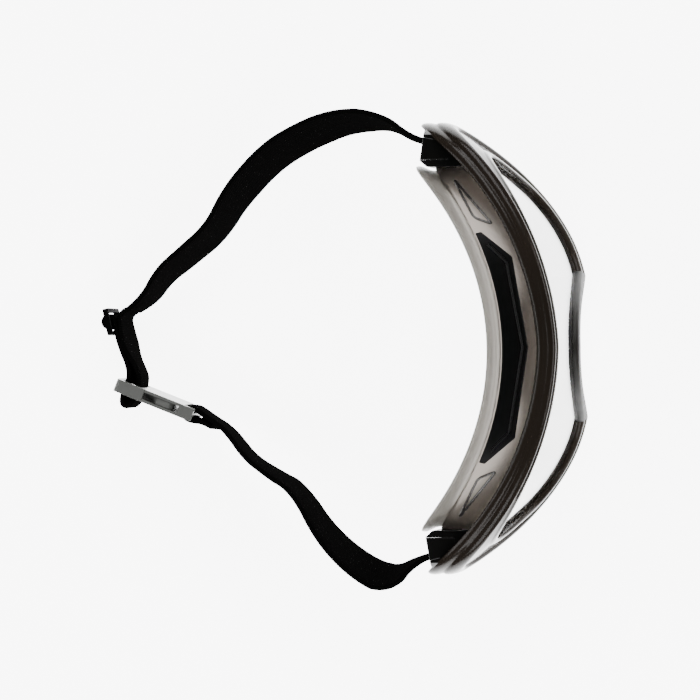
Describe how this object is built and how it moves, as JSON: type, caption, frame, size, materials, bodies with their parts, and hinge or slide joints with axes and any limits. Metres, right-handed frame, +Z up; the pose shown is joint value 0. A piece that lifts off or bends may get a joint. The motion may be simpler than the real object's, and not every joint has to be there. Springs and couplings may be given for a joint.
{
  "type": "motorcycle goggles",
  "caption": "Vented motorcycle goggles: smoke body, curved clear lens, face flange, temple strap boxes and an elastic strap with slider and side-release buckle.",
  "frame": {"origin": "on the surface the goggles stand on, under the middle of the whole object with its strap", "axes": "+Z up with the goggles on their lower rim, -Y out of the lens, +Y towards the strap's buckle, +X the wearer's left"},
  "size_m": [0.1683, 0.1804, 0.0745],
  "materials": {
    "smoke_body": "soft translucent smoke vinyl",
    "pale_flange": "soft translucent pale grey vinyl",
    "smoke_rim": "glossy translucent dark smoke",
    "nose_matte": "matte dark grey",
    "clear_lens": "clear polycarbonate",
    "gasket": "soft grey seal",
    "vent_black": "black moulded",
    "vent_foam": "open-cell foam",
    "box_black": "glossy near-black",
    "pin_steel": "bright pin",
    "webbing": "black elastic webbing",
    "slider_black": "black moulded",
    "buckle_grey": "translucent grey moulded"
  },
  "bodies": {
    "goggles": {"face_flange": "pale_flange", "body_shell": "smoke_body", "front_frame": "smoke_rim", "nose_bridge": "nose_matte", "lens": "clear_lens", "lens_gasket": "gasket", "lens_clips": "smoke_rim", "top_vent_cover": "vent_black", "top_vent_foam": "vent_foam", "bottom_vent_cover_left": "vent_black", "bottom_vent_cover_right": "vent_black", "bottom_vent_foam_left": "vent_foam", "bottom_vent_foam_right": "vent_foam", "strap_box_left": "box_black", "strap_box_right": "box_black", "strap_box_cap_left": "box_black", "strap_box_cap_right": "box_black", "strap_pin_left": "pin_steel", "strap_pin_right": "pin_steel", "strap_long": "webbing", "strap_short": "webbing", "buckle_socket": "buckle_grey"},
    "plug": {"buckle_plug": "buckle_grey", "strap_run": "webbing", "strap_return": "webbing"},
    "slider": {"strap_slider": "slider_black", "strap_end_loop": "webbing"},
    "arm_upper": {"release_arm_upper": "buckle_grey"},
    "arm_lower": {"release_arm_lower": "buckle_grey"}
  },
  "joints": [
    {"name": "buckle_release", "type": "slide", "parent": "goggles", "child": "plug", "axis": [0.3808, 0.9246, 0], "range_m": [0, 0.014], "deforming": ["strap_long"]},
    {"name": "arm_press_upper", "type": "hinge", "parent": "plug", "child": "arm_upper", "pos_m": [-0.01566, 0.07409, 0.02], "axis": [0.9246, -0.3808, 0], "range_deg": [0, 7], "stiffness_Nm_per_rad": 0.3},
    {"name": "arm_press_lower", "type": "hinge", "parent": "plug", "child": "arm_lower", "pos_m": [-0.01566, 0.07409, 0.004], "axis": [-0.9246, 0.3808, 0], "range_deg": [0, 7], "stiffness_Nm_per_rad": 0.3},
    {"name": "slider_adjust", "type": "slide", "parent": "plug", "child": "slider", "axis": [-0.9818, -0.19, 0], "range_m": [0, 0.008], "deforming": ["strap_return"]}
  ]
}
